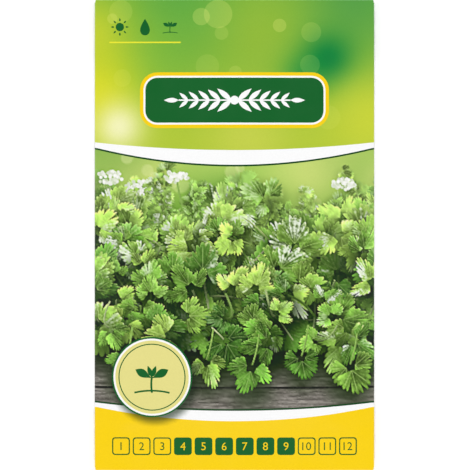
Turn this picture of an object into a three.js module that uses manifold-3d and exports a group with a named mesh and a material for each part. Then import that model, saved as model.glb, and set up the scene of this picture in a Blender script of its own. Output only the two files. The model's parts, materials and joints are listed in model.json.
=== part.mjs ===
// A filled paper seed packet, lying on its back with the printed front up.
//
// One sheet of paper is folded into the packet: the front panel carries a wing on each side and a
// flap at each end. The wings fold behind the front and overlap in a glued seam down the middle of
// the back, and the two flaps fold over the wings and are glued down. Loose coriander fruits lie in
// the lower part of the pouch, in one layer.
//
// Millimetres. X runs across the packet, Y up the front towards the top edge, Z out of the front.
// The origin is on the surface that the packet lies on, under the middle of its outline.

import * as THREE from "three";
import { mergeVertices } from "three/addons/utils/BufferGeometryUtils.js";
import Module from "manifold-3d";

// Outline and paper
const PACKET_WIDTH = 80;
const PACKET_HEIGHT = 135;
const PAPER = 0.15;
const SIDE_GAP = 0.1; // between front and back paper at the side folds

// Seam and flaps on the back
const SEAM_OVERLAP = 12;
const SEAM_EASE = 6; // the inner wing climbs into the seam over this width
const GLUE_ROOM = 0.12; // between two glued layers of paper
const GLUE_FILM = 0.06;
const FLAP_DEPTH = 11;
const FLAP_NOTCH = 1; // the flap is this much narrower on each side where it leaves the fold
const FLAP_TAPER = 5; // and by this much more at its free edge
const WING_END_GAP = 0.5; // from the ends of the wings to the end folds
const FLAP_GLUE_FROM = 3; // the glue under a flap, as depths from its fold
const FLAP_GLUE_TO = 8;
const SEAM_GLUE_MARGIN = 1.5; // from the edges of the overlap

// The filled pouch
const EDGE_LIFT = 1.2; // the edges of the packet stand this far off the surface
const FRONT_RISE = 3.9; // the front stands this much higher over the fruits than at the edges
const SIDE_SHAPE = 3; // exponent of the pouch's cross-section: 2 is a lens, more is flatter
const FULL_FROM = 0.24; // share of the height, from the bottom edge, where the pouch is full
const FULL_TO = 0.42; // where it starts to thin out towards the top
const FLAT_FULLNESS = 0.6; // from this fullness on, the back lies flat on the surface

// Coriander fruits
const FRUIT_LENGTH = 3.5;
const FRUIT_WIDTH = 3.25;
const FRUIT_RIBS = 8;
const RIB_HEIGHT = 0.1;
const FRUIT_RINGS = 4;
const FRUIT_SPREAD = 0.06; // fruits differ in size by this share, either way
const FRUIT_PITCH = 3.1; // a little under the width, so that neighbours touch
const FRUIT_CLEARANCE = 0.03; // from the paper under them
const FRUIT_FULLNESS = 0.8; // fruits lie only where the pouch is at least this full
const HEAP_TOP = -30; // the heap ends here at the middle of the packet
const HEAP_FALL = 5; // and this much lower at its sides
const RANDOM_SEED = 7;

// Facets
const FRONT_CELLS = 18;
const WING_CELLS = 6;
const PANEL_CELLS = 22;
const SIDE_FOLD_CELLS = 4;
const END_FOLD_CELLS = 4;

// Worked out from the above
const SIDE_REACH = PAPER + SIDE_GAP / 2; // from the middle of a side fold to its outside
const FRONT_HALF = PACKET_WIDTH / 2 - SIDE_REACH;
const SEAM_STEP = PAPER + GLUE_ROOM; // how far the inner wing is raised in the seam
const END_REACH = (3 * PAPER + GLUE_ROOM + SIDE_GAP + SEAM_STEP) / 2;
const PANEL_HALF = PACKET_HEIGHT / 2 - END_REACH;
const WING_HALF = PANEL_HALF - WING_END_GAP;
const FLAP_LINES = [0, FLAP_GLUE_FROM, FLAP_GLUE_TO, FLAP_DEPTH];
const FLAP_GLUE_HALF = FRONT_HALF - FLAP_NOTCH - FLAP_TAPER;
const FILM_GAP = (GLUE_ROOM - GLUE_FILM) / 2; // between a film of glue and the paper

const LOOKS = {
  packet_paper: { color: "#8cb83f", roughness: 0.35, metalness: 0 },
  seam_glue: { color: "#e6dcc0", roughness: 0.3, metalness: 0 },
  bottom_flap_glue: { color: "#e6dcc0", roughness: 0.3, metalness: 0 },
  top_flap_glue: { color: "#e6dcc0", roughness: 0.3, metalness: 0 },
  coriander_fruits: { color: "#b08d57", roughness: 0.8, metalness: 0 },
};

const { smoothstep, lerp } = THREE.MathUtils;

const wasm = await Module();
wasm.setup();

// Heights of the paper

// From 0 at the edges of the packet to 1 where the fruits fill it
function fullness(x, y) {
  const across = 1 - Math.min(1, Math.abs(x) / FRONT_HALF) ** SIDE_SHAPE;
  const share = (y + PANEL_HALF) / (2 * PANEL_HALF);
  const rise = smoothstep(share, 0, FULL_FROM);
  const fall = 1 - smoothstep(share, FULL_TO, 1);
  return across * rise * fall;
}

// Outer face of the back, where one layer of paper covers it
function backFace(x, y) {
  return EDGE_LIFT * (1 - smoothstep(fullness(x, y), 0, FLAT_FULLNESS));
}

// Room that the doubled paper of the seam takes between front and back
function seamRoom(x) {
  const half = SEAM_OVERLAP / 2;
  return SEAM_STEP * (1 - smoothstep(Math.abs(x), half, half + SEAM_EASE));
}

// Outer face of the front
function frontFace(x, y) {
  const full = fullness(x, y);
  const closed = EDGE_LIFT + 2 * PAPER + SIDE_GAP + seamRoom(x) * (1 - full);
  return closed + FRONT_RISE * full;
}

// How far the left wing, which is the inner one, is raised over the right one
function innerWingRaise(x) {
  const half = SEAM_OVERLAP / 2;
  return SEAM_STEP * smoothstep(x, -half - SEAM_EASE, -half);
}

// Outer face of the flaps
function flapFace(x, y) {
  return backFace(x, y) - GLUE_ROOM - PAPER;
}

// The folded sheet

// count equal steps between two values, both ends included
function steps(from, to, count) {
  return Array.from({ length: count + 1 }, (_, i) => lerp(from, to, i / count));
}

// Distances of a wing's lines from the middle, towards its fold, from its free edge on: the edges of
// the seam and of its ease are among them
function wingColumns() {
  const seam = SEAM_OVERLAP / 2;
  const eased = seam + SEAM_EASE;
  return [-seam, seam, (seam + eased) / 2, ...steps(eased, FRONT_HALF, WING_CELLS)];
}

// Lines across the sheet, from the free edge of the left wing to that of the right wing.
// A fold turns from 0, where it leaves the front, to a half turn.
function linesAcross() {
  const wing = (side, columns) => columns.map((out) => ({ zone: "wing", side, x: side * out }));
  const fold = (side, from, to) =>
    steps(from, to, SIDE_FOLD_CELLS)
      .slice(1, -1)
      .map((turn) => ({ zone: "fold", side, turn }));
  return [
    ...wing(-1, wingColumns()),
    ...fold(-1, Math.PI, 0),
    ...steps(-FRONT_HALF, FRONT_HALF, FRONT_CELLS).map((x) => ({ zone: "front", x })),
    ...fold(1, 0, Math.PI),
    ...wing(1, wingColumns().reverse()),
  ];
}

// Y of the lines on the wings. The flaps and the films of glue have lines at the same places, so
// that their facets lie along each other.
function wingRows() {
  const ends = [WING_END_GAP, FLAP_GLUE_FROM, FLAP_GLUE_TO].map((depth) => PANEL_HALF - depth);
  const middle = PANEL_HALF - FLAP_DEPTH;
  const bottom = ends.map((y) => -y);
  return [...bottom, ...steps(-middle, middle, PANEL_CELLS), ...ends.reverse()];
}

// Lines along the sheet, from the free edge of the bottom flap to that of the top flap
function linesAlong() {
  const flap = (side, depths) => depths.map((depth) => ({ zone: "flap", side, depth }));
  const fold = (side, from, to) =>
    steps(from, to, END_FOLD_CELLS)
      .slice(1, -1)
      .map((turn) => ({ zone: "fold", side, turn }));
  const panel = [-PANEL_HALF, ...wingRows(), PANEL_HALF];
  return [
    ...flap(-1, FLAP_LINES.toReversed()),
    ...fold(-1, Math.PI, 0),
    ...panel.map((y) => ({ zone: "panel", y })),
    ...fold(1, 0, Math.PI),
    ...flap(1, FLAP_LINES),
  ];
}

// A point of a fold between the face above and the face below it, as [way out, height]
function foldPoint(turn, reach, above, below, depth) {
  const middle = (above + below) / 2;
  const radius = (above - below) / 2 - depth;
  return [(reach - depth) * Math.sin(turn), middle + radius * Math.cos(turn)];
}

// Where a line across meets a line along, at a depth into the paper from its printed face
function sheetPoint(across, along, depth) {
  if (along.zone === "panel") {
    const y = along.y;
    if (across.zone === "front") {
      return [across.x, y, frontFace(across.x, y) - depth];
    }
    const side = across.side;
    if (across.zone === "fold") {
      const x = side * FRONT_HALF;
      const [out, z] = foldPoint(across.turn, SIDE_REACH, frontFace(x, y), backFace(x, y), depth);
      return [x + side * out, y, z];
    }
    const raise = side < 0 ? innerWingRaise(across.x) : 0;
    return [across.x, y, backFace(across.x, y) + raise + depth];
  }
  const side = along.side;
  if (along.zone === "fold") {
    const x = across.x * (1 - (FLAP_NOTCH / FRONT_HALF) * (along.turn / Math.PI));
    const y = side * PANEL_HALF;
    const [out, z] = foldPoint(along.turn, END_REACH, frontFace(x, y), flapFace(x, y), depth);
    return [x, y + side * out, z];
  }
  const inset = FLAP_NOTCH + FLAP_TAPER * (along.depth / FLAP_DEPTH);
  const x = across.x * (1 - inset / FRONT_HALF);
  const y = side * (PANEL_HALF - along.depth);
  return [x, y, flapFace(x, y) + depth];
}

// Whether the sheet has paper in the cell after line i across and line j along
function hasPaper(across, along, i, j) {
  if (!across[i + 1] || !along[j + 1] || i < 0 || j < 0) return false;
  if (across[i].zone === "front" && across[i + 1].zone === "front") return true;
  const rows = [along[j], along[j + 1]];
  return rows.every((row) => row.zone === "panel" && Math.abs(row.y) <= WING_HALF);
}

function makeSheet() {
  const across = linesAcross();
  const along = linesAlong();
  const positions = [];
  const triangles = [];
  const known = new Map();

  // inner is 0 on the printed face and 1 on the other
  const vertex = (i, j, inner) => {
    const key = `${i},${j},${inner}`;
    if (!known.has(key)) {
      known.set(key, positions.length / 3);
      positions.push(...sheetPoint(across[i], along[j], inner * PAPER));
    }
    return known.get(key);
  };
  const quad = (a, b, c, d) => triangles.push(a, b, c, a, c, d);
  const rim = (from, to) =>
    quad(vertex(...to, 0), vertex(...from, 0), vertex(...from, 1), vertex(...to, 1));

  for (let i = 0; i < across.length - 1; i++) {
    for (let j = 0; j < along.length - 1; j++) {
      if (!hasPaper(across, along, i, j)) continue;
      const corners = [[i, j], [i + 1, j], [i + 1, j + 1], [i, j + 1]];
      const printed = corners.map((c) => vertex(...c, 0));
      const plain = corners.map((c) => vertex(...c, 1));
      quad(...printed);
      triangles.push(plain[0], plain[2], plain[1], plain[0], plain[3], plain[2]);
      if (!hasPaper(across, along, i, j - 1)) rim(corners[0], corners[1]);
      if (!hasPaper(across, along, i + 1, j)) rim(corners[1], corners[2]);
      if (!hasPaper(across, along, i, j + 1)) rim(corners[2], corners[3]);
      if (!hasPaper(across, along, i - 1, j)) rim(corners[3], corners[0]);
    }
  }
  return indexedGeometry(positions, triangles);
}

function indexedGeometry(positions, triangles) {
  const geometry = new THREE.BufferGeometry();
  geometry.setAttribute("position", new THREE.Float32BufferAttribute(positions, 3));
  geometry.setIndex(triangles);
  geometry.computeVertexNormals();
  return geometry;
}

// Glue

// A film over the grid of xs and ys, whose underside is at height(x, y)
function makeFilm(xs, ys, height) {
  const positions = [];
  const triangles = [];
  const index = (i, j, top) => 2 * (i * ys.length + j) + top;
  for (const x of xs) {
    for (const y of ys) {
      const z = height(x, y);
      positions.push(x, y, z, x, y, z + GLUE_FILM);
    }
  }
  const quad = (a, b, c, d) => triangles.push(a, b, c, a, c, d);
  const side = (i, j, k, l) => quad(index(i, j, 0), index(k, l, 0), index(k, l, 1), index(i, j, 1));
  const [m, n] = [xs.length - 1, ys.length - 1];
  for (let i = 0; i < m; i++) {
    for (let j = 0; j < n; j++) {
      quad(index(i, j, 1), index(i + 1, j, 1), index(i + 1, j + 1, 1), index(i, j + 1, 1));
      triangles.push(index(i, j, 0), index(i + 1, j + 1, 0), index(i + 1, j, 0));
      triangles.push(index(i, j, 0), index(i, j + 1, 0), index(i + 1, j + 1, 0));
    }
  }
  for (let i = 0; i < m; i++) {
    side(i, 0, i + 1, 0);
    side(i + 1, n, i, n);
  }
  for (let j = 0; j < n; j++) {
    side(m, j, m, j + 1);
    side(0, j + 1, 0, j);
  }
  return indexedGeometry(positions, triangles);
}

function makeSeamGlue() {
  const half = SEAM_OVERLAP / 2 - SEAM_GLUE_MARGIN;
  const ys = wingRows().slice(1, -1);
  return makeFilm([-half, half], ys, (x, y) => backFace(x, y) + PAPER + FILM_GAP);
}

// side is -1 for the bottom flap and 1 for the top flap
function makeFlapGlue(side) {
  const ys = [FLAP_GLUE_FROM, FLAP_GLUE_TO].map((depth) => side * (PANEL_HALF - depth));
  ys.sort((a, b) => a - b);
  const xs = steps(-FLAP_GLUE_HALF, FLAP_GLUE_HALF, FRONT_CELLS);
  return makeFilm(xs, ys, (x, y) => backFace(x, y) - GLUE_ROOM + FILM_GAP);
}

// Coriander fruits

// Mulberry32: the same draws on every run
function makeRandom(seed) {
  let state = seed;
  return () => {
    state = (state + 0x6d2b79f5) | 0;
    let t = Math.imul(state ^ (state >>> 15), 1 | state);
    t = (t + Math.imul(t ^ (t >>> 7), 61 | t)) ^ t;
    return ((t ^ (t >>> 14)) >>> 0) / 2 ** 32;
  };
}

// One ribbed fruit round its own long axis, Y, with the stub of the style at its tip
function makeFruit() {
  const geometry = new THREE.SphereGeometry(1, 2 * FRUIT_RIBS, FRUIT_RINGS);
  const position = geometry.getAttribute("position");
  const point = new THREE.Vector3();
  for (let i = 0; i < position.count; i++) {
    point.fromBufferAttribute(position, i);
    const angle = Math.atan2(point.z, point.x);
    const fromPole = Math.hypot(point.x, point.z);
    const rib = RIB_HEIGHT * fromPole * Math.cos(FRUIT_RIBS * angle);
    const radius = FRUIT_WIDTH / 2 + rib;
    position.setXYZ(i, point.x * radius, (point.y * FRUIT_LENGTH) / 2, point.z * radius);
  }
  return geometry;
}

function solidOf(geometry) {
  const bare = geometry.clone();
  bare.deleteAttribute("normal");
  bare.deleteAttribute("uv");
  const merged = mergeVertices(bare, 1e-4);
  return new wasm.Manifold(
    new wasm.Mesh({
      numProp: 3,
      vertProperties: new Float32Array(merged.getAttribute("position").array),
      triVerts: new Uint32Array(merged.index.array),
    }),
  );
}

function geometryOf(solid) {
  const mesh = solid.getMesh();
  return indexedGeometry(Array.from(mesh.vertProperties), Array.from(mesh.triVerts));
}

// Inner face of the back, or of the wing that is uppermost there
function pouchFloor(x, y) {
  const raise = x < SEAM_OVERLAP / 2 ? innerWingRaise(x) : 0;
  return backFace(x, y) + raise + PAPER;
}

// Middles of the fruits: rows of a honeycomb, where the pouch is full enough, below the heap's top
function fruitPlaces() {
  const places = [];
  const rowPitch = (FRUIT_PITCH * Math.sqrt(3)) / 2;
  const rows = Math.ceil(PANEL_HALF / rowPitch);
  const columns = Math.ceil(FRONT_HALF / FRUIT_PITCH);
  for (let row = -rows; row <= 0; row++) {
    for (let column = -columns; column <= columns; column++) {
      const x = (column + (row % 2 ? 0.5 : 0)) * FRUIT_PITCH;
      const y = row * rowPitch;
      const top = HEAP_TOP - HEAP_FALL * (x / FRONT_HALF) ** 2;
      const margin = FRUIT_LENGTH / 2;
      const inPouch = fullness(Math.abs(x) + margin, y - margin) > FRUIT_FULLNESS;
      if (y < top && inPouch) places.push([x, y]);
    }
  }
  return places;
}

function makeFruits() {
  const random = makeRandom(RANDOM_SEED);
  const fruit = makeFruit();
  let heap = null;
  for (const [x, y] of fruitPlaces()) {
    const size = 1 + FRUIT_SPREAD * (2 * random() - 1);
    const reach = (size * FRUIT_LENGTH) / 2;
    const floor = Math.max(...[-reach, 0, reach].map((dx) => pouchFloor(x + dx, y)));
    const turn = new THREE.Euler(2 * Math.PI * random(), 2 * Math.PI * random(), 0);
    const placed = fruit.clone().scale(size, size, size);
    placed.applyMatrix4(new THREE.Matrix4().makeRotationFromEuler(turn));
    placed.computeBoundingBox();
    placed.translate(x, y, floor + FRUIT_CLEARANCE - placed.boundingBox.min.z);
    const solid = solidOf(placed);
    heap = heap ? heap.add(solid) : solid;
  }
  return geometryOf(heap);
}

// The packet

function makePart(name, geometry) {
  const mesh = new THREE.Mesh(geometry, new THREE.MeshStandardMaterial(LOOKS[name]));
  mesh.name = name;
  return mesh;
}

const packet = new THREE.Group();
packet.name = "seed_packet";
packet.add(
  makePart("packet_paper", makeSheet()),
  makePart("seam_glue", makeSeamGlue()),
  makePart("bottom_flap_glue", makeFlapGlue(-1)),
  makePart("top_flap_glue", makeFlapGlue(1)),
  makePart("coriander_fruits", makeFruits()),
);

export default packet;
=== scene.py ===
"""A filled paper seed packet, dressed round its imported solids.

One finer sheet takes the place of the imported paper. It is the same folded sheet, in small facets that
follow the print, and each facet's corners hold the print's colours. Lengths are in millimetres until a
mesh is made. X runs across the packet, Y up its front and Z out of its front.
"""

import json
from collections import namedtuple
from math import ceil, cos, log, pi, radians, sin, sqrt

import bpy
import numpy as np
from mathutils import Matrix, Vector
from mathutils.geometry import delaunay_2d_cdt

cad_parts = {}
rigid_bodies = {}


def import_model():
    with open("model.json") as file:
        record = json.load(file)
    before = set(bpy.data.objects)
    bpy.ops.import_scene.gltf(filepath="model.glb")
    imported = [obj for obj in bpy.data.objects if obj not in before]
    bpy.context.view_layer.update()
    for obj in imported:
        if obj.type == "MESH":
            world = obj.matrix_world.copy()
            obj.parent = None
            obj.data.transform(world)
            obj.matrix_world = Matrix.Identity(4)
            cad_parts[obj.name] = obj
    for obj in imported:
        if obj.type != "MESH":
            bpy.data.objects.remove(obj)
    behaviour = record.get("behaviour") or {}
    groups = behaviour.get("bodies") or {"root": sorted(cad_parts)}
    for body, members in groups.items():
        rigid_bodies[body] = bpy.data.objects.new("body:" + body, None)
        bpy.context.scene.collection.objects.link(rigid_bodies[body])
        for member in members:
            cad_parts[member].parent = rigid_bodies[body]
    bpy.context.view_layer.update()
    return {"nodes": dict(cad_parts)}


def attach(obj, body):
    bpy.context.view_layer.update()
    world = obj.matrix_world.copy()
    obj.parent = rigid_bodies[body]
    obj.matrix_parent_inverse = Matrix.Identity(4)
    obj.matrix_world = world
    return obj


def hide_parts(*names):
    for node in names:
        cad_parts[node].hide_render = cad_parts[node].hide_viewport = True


MM = 0.001

# The sheet, as in the solids
PACKET_WIDTH = 80
PACKET_HEIGHT = 135
PAPER = 0.15
SIDE_GAP = 0.1
SEAM_OVERLAP = 12
SEAM_EASE = 6
GLUE_ROOM = 0.12
FLAP_DEPTH = 11
FLAP_NOTCH = 1
FLAP_TAPER = 5
WING_END_GAP = 0.5
EDGE_LIFT = 1.2
FRONT_RISE = 3.9
SIDE_SHAPE = 3
FULL_FROM = 0.24
FULL_TO = 0.42
FLAT_FULLNESS = 0.6

SIDE_REACH = PAPER + SIDE_GAP / 2
FRONT_HALF = PACKET_WIDTH / 2 - SIDE_REACH
SEAM_HALF = SEAM_OVERLAP / 2
SEAM_STEP = PAPER + GLUE_ROOM
END_REACH = (3 * PAPER + GLUE_ROOM + SIDE_GAP + SEAM_STEP) / 2
PANEL_HALF = PACKET_HEIGHT / 2 - END_REACH
WING_HALF = PANEL_HALF - WING_END_GAP

# The sheet laid flat: U runs across it and V along it, and both are 0 in the middle of the front
SIDE_FOLD = pi * SIDE_REACH
END_FOLD = pi * END_REACH
WING_FOLD = 2 * FRONT_HALF + SIDE_FOLD  # a wing's place in U and its place in X add up to this
WING_FROM = FRONT_HALF + SIDE_FOLD
FLAP_FROM = PANEL_HALF + END_FOLD
SHEET_HALF_U = WING_FOLD + SEAM_HALF
SHEET_HALF_V = FLAP_FROM + FLAP_DEPTH
WRAP = FRONT_HALF + SIDE_FOLD / 2  # the front's print ends half way round the side folds
FOLD_STEPS = 6

# Facets
PICTURE_PITCH = 0.22
PICTURE_POINTS = 66000
PRINT_PITCH = 1.0
PLAIN_PITCH = 2.0
INSIDE_PITCH = 2.6
EDGE_PITCH = 0.3  # along the side folds beside the picture
SAME_PLACE = 0.002
SHARP_ANGLE = 60  # in degrees, more than between the facets of a fold

# Ripples of the paper over the filling
DENT_HEIGHT = 0.15
PUCKER_HEIGHT = 0.13
PUCKER_PITCH = 8.5
PUCKER_AT = 31
PUCKER_WIDTH = 4.5

# What the mesh holds for its materials
PRINT = "print"
WEAR = "wear"
WEAR_LOW = 0.18
WEAR_HIGH = 0.55
WEAR_REACH = 7
PAPER_WHITE = 0.8  # the share of light that unprinted paper gives back
GLOSS = 0.014  # the share of light that the coating adds to every colour
BAKE_MAP = "OFBake"
BAKE_COLUMNS = (0.01, 0.2, 0.8, 0.99)  # the ends of the wings, and of the front between them
PRINTED_ROWS = (0.01, 0.935)
PLAIN_ROWS = (0.955, 0.98)
CUT_ROWS = (0.985, 0.995)


def smoothstep(x, low, high):
    t = np.clip((x - low) / (high - low), 0, 1)
    return t * t * (3 - 2 * t)


def mix(a, b, share):
    return a + (b - a) * share


def tinted(colours, tone, share):
    """Colours mixed with a tone, by a share for each of them"""
    return mix(colours, tone, share[..., None])


def rgb(red, green, blue):
    return np.array([red, green, blue]) / 255


def to_linear(colour):
    return np.where(colour <= 0.04045, colour / 12.92, ((colour + 0.055) / 1.055) ** 2.4)


def table(*columns):
    return np.stack(columns, -1)


def joined(*arrays):
    return np.concatenate(arrays)


# Heights of the paper


def fullness(x, y):
    """How far the front bulges, from 0 at its edges to 1"""
    across = 1 - np.minimum(1, np.abs(x) / FRONT_HALF) ** SIDE_SHAPE
    share = (y + PANEL_HALF) / (2 * PANEL_HALF)
    return across * smoothstep(share, 0, FULL_FROM) * (1 - smoothstep(share, FULL_TO, 1))


def back_face(x, y):
    return EDGE_LIFT * (1 - smoothstep(fullness(x, y), 0, FLAT_FULLNESS))


def ripples(x, y):
    """Soft dents all over the pouch, and small puckers along its sides"""
    full = fullness(x, y)
    dents = np.sin(0.21 * x + 0.9 * np.sin(0.11 * y)) * np.sin(0.16 * y + 0.7 * np.sin(0.13 * x + 1))
    beside = np.exp(-(((np.abs(x) - PUCKER_AT) / PUCKER_WIDTH) ** 2))
    lean = 2.2 * np.sin(0.09 * y + np.sign(x)) + 0.12 * np.abs(x)
    puckers = np.sin(2 * pi * (y + lean) / PUCKER_PITCH) * beside
    closed = smoothstep(full, 0, 0.25)
    return closed * (DENT_HEIGHT * dents * full + PUCKER_HEIGHT * puckers)


def front_face(x, y):
    full = fullness(x, y)
    seam_room = SEAM_STEP * (1 - smoothstep(np.abs(x), SEAM_HALF, SEAM_HALF + SEAM_EASE))
    closed = EDGE_LIFT + 2 * PAPER + SIDE_GAP + seam_room * (1 - full)
    return closed + FRONT_RISE * full + ripples(x, y)


def flap_face(x, y):
    return back_face(x, y) - GLUE_ROOM - PAPER


def fold_point(turn, reach, above, below, depth):
    """A point of a fold, from the face above to the face below: its way out and its height"""
    radius = (above - below) / 2 - depth
    return (reach - depth) * np.sin(turn), (above + below) / 2 + radius * np.cos(turn)


def panel_points(u, v, depth):
    """Points of the front, the side folds and the wings"""
    side = np.where(u < 0, -1, 1)
    turn = np.clip((np.abs(u) - FRONT_HALF) / SIDE_FOLD, 0, 1) * pi
    x_front = np.clip(u, -FRONT_HALF, FRONT_HALF)
    x_wing = side * (WING_FOLD - np.abs(u))
    out, z_front = fold_point(turn, SIDE_REACH, front_face(x_front, v), back_face(x_front, v), depth)
    inner_raise = SEAM_STEP * smoothstep(x_wing, -SEAM_HALF - SEAM_EASE, -SEAM_HALF)
    z_wing = back_face(x_wing, v) + np.where(side < 0, inner_raise, 0) + depth
    in_wing = turn >= pi
    x = np.where(in_wing, x_wing, x_front + side * out)
    return table(x, v, np.where(in_wing, z_wing, z_front))


def end_points(u, v, depth):
    """Points of the end folds and the flaps"""
    side = np.where(v < 0, -1, 1)
    turn = np.clip((np.abs(v) - PANEL_HALF) / END_FOLD, 0, 1) * pi
    along = np.clip(np.abs(v) - FLAP_FROM, 0, FLAP_DEPTH)
    inset = FLAP_NOTCH * turn / pi + FLAP_TAPER * along / FLAP_DEPTH
    x = u * (1 - inset / FRONT_HALF)
    y = side * (PANEL_HALF - along)
    out, z = fold_point(turn, END_REACH, front_face(x, y), flap_face(x, y), depth)
    return table(x, y + side * out, z)


def sheet_points(places, depth):
    """Where points of the flat sheet are on the packet, at a depth from the printed face"""
    u, v = places.T
    in_panel = (np.abs(v) <= PANEL_HALF)[:, None]
    return np.where(in_panel, panel_points(u, v, depth), end_points(u, v, depth))


# Colours of the print

WHITE = rgb(255, 255, 255)
GOLD = rgb(254, 215, 0)
RIM_YELLOW = rgb(250, 212, 5)
DARK_GREEN = rgb(0, 102, 49)
LINE_GREEN = rgb(12, 74, 38)
PALE_LIME = rgb(234, 226, 143)
CREAM = rgb(250, 249, 238)
LINE_YELLOW = rgb(240, 236, 60)
BOKEH_LIGHT = rgb(236, 240, 130)
BOKEH_SEED = 5
SHADOW = rgb(14, 30, 12)
BACK_TINT = rgb(226, 236, 196)
RULE_GREEN = rgb(128, 170, 96)
PROOF_COLOURS = [rgb(0, 158, 224), rgb(226, 0, 122), rgb(255, 240, 60), rgb(40, 40, 40)]

# Curves across the front, each by its height in the middle and at the sides
FRAME_LINE = 0.5
BLEED = 1  # how far the print runs past the sheet's cut edges
PICTURE_TOP = np.array([19.5, 24.5])
UPPER_LINE = PICTURE_TOP + FRAME_LINE
HEADER_BOTTOM = UPPER_LINE + (4.2, 1.5)
PICTURE_BOTTOM = np.array([-49.6, -47.4])
LOWER_LINE = PICTURE_BOTTOM - FRAME_LINE
BASE_TOP = LOWER_LINE - (3.0, 1.2)
SHEET_TOP = np.full(2, SHEET_HALF_V + BLEED)

# Signs on the front and on the back, as each is read
PLAQUE_Y = 38.5
PLAQUE_SIZE = (54, 16)
PLAQUE_CORNER = 5
PLAQUE_RINGS = [(0, RIM_YELLOW), (1.0, WHITE), (1.55, DARK_GREEN)]
SEAL_PLACE = (-23.5, -40.5)
SEAL_RADIUS = 11.5
SEAL_RINGS = [(0, DARK_GREEN), (0.45, WHITE), (1.0, PALE_LIME), (1.9, DARK_GREEN), (2.2, PALE_LIME)]
SEAL_SEEDLING = 5.6
SHADOW_PLACE = (SEAL_PLACE[0] + 0.8, SEAL_PLACE[1] - 0.9)
SHADOW_BLUR = 2.2
SHADOW_DEPTH = 0.6

SPRIG_PAIRS = 5
SPRIG_LEAN = radians(40)
PLAQUE_SPRIG = (PLAQUE_Y, 32, 5.2)  # height, length and leaf
BACK_SPRIG = (35, 28, 4.6)
FRONT_ICONS = (-25.6, 59.5, 7.2, 2.4)  # place, pitch and radius
BACK_ICONS = (0, -29, 19, 4.4)
FRONT_RULE = (-25.6, 55.1, 10.2, 0.4)  # middle, half length and width
BACK_RULES = [(0, 24 - 6.6 * i, 27, 0.25) for i in range(5)]

MONTHS = 12
SOWING_MONTHS = range(4, 10)
FRONT_CALENDAR = (-60.4, 5.9)  # height and pitch
BACK_CALENDAR = (-14, 5.0)
MONTH_BOX = 0.865  # of the pitch
MONTH_LINE = 0.058
NUMBER_SIZE = 0.56

BACK_PANEL = (0, 2, 67, 86, 4)  # middle, size and corner radius
BACK_BAND = 51
PROOF_X = 20
PROOF_Y = 2.6 - SHEET_HALF_V
PROOF_PITCH = 2.6
PROOF_RADIUS = 0.9

HEADER_TONES = (rgb(178, 202, 62), rgb(128, 182, 64))  # low and high
HEADER_SPOTS = [
    # place, reach, colour and strength of each soft spot of the header
    ((-14, 70), 17, rgb(92, 170, 72), 0.85),
    ((34, 70), 17, rgb(84, 160, 76), 0.9),
    ((8, 58), 15, rgb(158, 192, 62), 0.7),
    ((27, 50), 7.5, rgb(0, 122, 66), 0.9),
    ((20, 45), 6.5, rgb(14, 136, 66), 0.6),
    ((-24, 50), 12, rgb(120, 184, 66), 0.7),
    ((-41, 58), 11, rgb(196, 210, 56), 0.9),
    ((-40, 40), 14, rgb(226, 224, 44), 0.9),
    ((-33, 31), 7, rgb(255, 253, 214), 0.85),
    ((39, 33), 13, rgb(206, 216, 64), 0.9),
    ((4, 27), 12, rgb(204, 214, 84), 0.8),
]


def curve_height(curve, x):
    """The height of a curve, a parabola, at a place across the front"""
    return mix(*curve, (x / FRONT_HALF) ** 2)


def header_colour(u, v):
    """A soft mix of greens and yellows, which runs on from the front round to the wings"""
    x = np.where(np.abs(u) > WRAP, np.sign(u) * (WING_FOLD - np.abs(u)), u)
    colour = tinted(*HEADER_TONES, smoothstep(v, 26, 60))
    for (spot_x, spot_y), reach, tone, strength in HEADER_SPOTS:
        far = ((x - spot_x) ** 2 + (v - spot_y) ** 2) / reach**2
        colour = tinted(colour, tone, strength * np.exp(-far))
    return colour


# Shapes of the print, each a loop of points. An ink fills the odd places of its loops.

Ink = namedtuple("Ink", "loops colour cover", defaults=(1.0,))


def inked(colour, *shapes):
    return [Ink([shape], colour) for shape in shapes]


def circle(x, y, radius, count=56):
    turn = np.linspace(0, 2 * pi, count, endpoint=False)
    return table(x + radius * np.cos(turn), y + radius * np.sin(turn))


def rounded_box(x, y, width, height, radius, count=9):
    turn = (np.arange(4)[:, None] + np.linspace(0, 1, count)).ravel() * pi / 2
    side_x, side_y = np.repeat([[1, -1, -1, 1], [1, 1, -1, -1]], count, axis=1)
    out_x = side_x * (width / 2 - radius) + radius * np.cos(turn)
    out_y = side_y * (height / 2 - radius) + radius * np.sin(turn)
    return table(x + out_x, y + out_y)


def blade(x, y, heading, length, width, fat_at=0.45, count=9):
    """A pointed leaf from its base"""
    t = np.linspace(0, 1, count)
    half = width / 2 * np.sin(pi * t ** (log(0.5) / log(fat_at)))
    upper = table(t * length, half)
    lower = table(t * length, -half)[::-1][1:-1]
    c, s = cos(heading), sin(heading)
    return joined(upper, lower) @ [[c, s], [-s, c]] + (x, y)


def drop(x, y, radius, count=26):
    turn = np.linspace(0, 2 * pi, count, endpoint=False)
    wide = radius * 0.78 * np.sin(turn) * np.sin(turn / 2) ** 1.2
    return table(x + wide, y + radius * np.cos(turn))


def stroke(start, end, width, rise=0, count=9):
    """A line of one width, along a shallow arch"""
    t = np.linspace(0, 1, count)[:, None]
    start, end = np.array([start, end], float)
    across = np.array([start[1] - end[1], end[0] - start[0]])
    points = mix(start, end, t) + across * 4 * rise * t * (1 - t)
    way = np.gradient(points, axis=0)
    way /= np.linalg.norm(way, axis=1)[:, None]
    aside = table(-way[:, 1], way[:, 0]) * width / 2
    return joined(points + aside, (points - aside)[::-1])


def rule(x, y, half, width):
    return stroke((x - half, y), (x + half, y), width, count=3)


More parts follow.
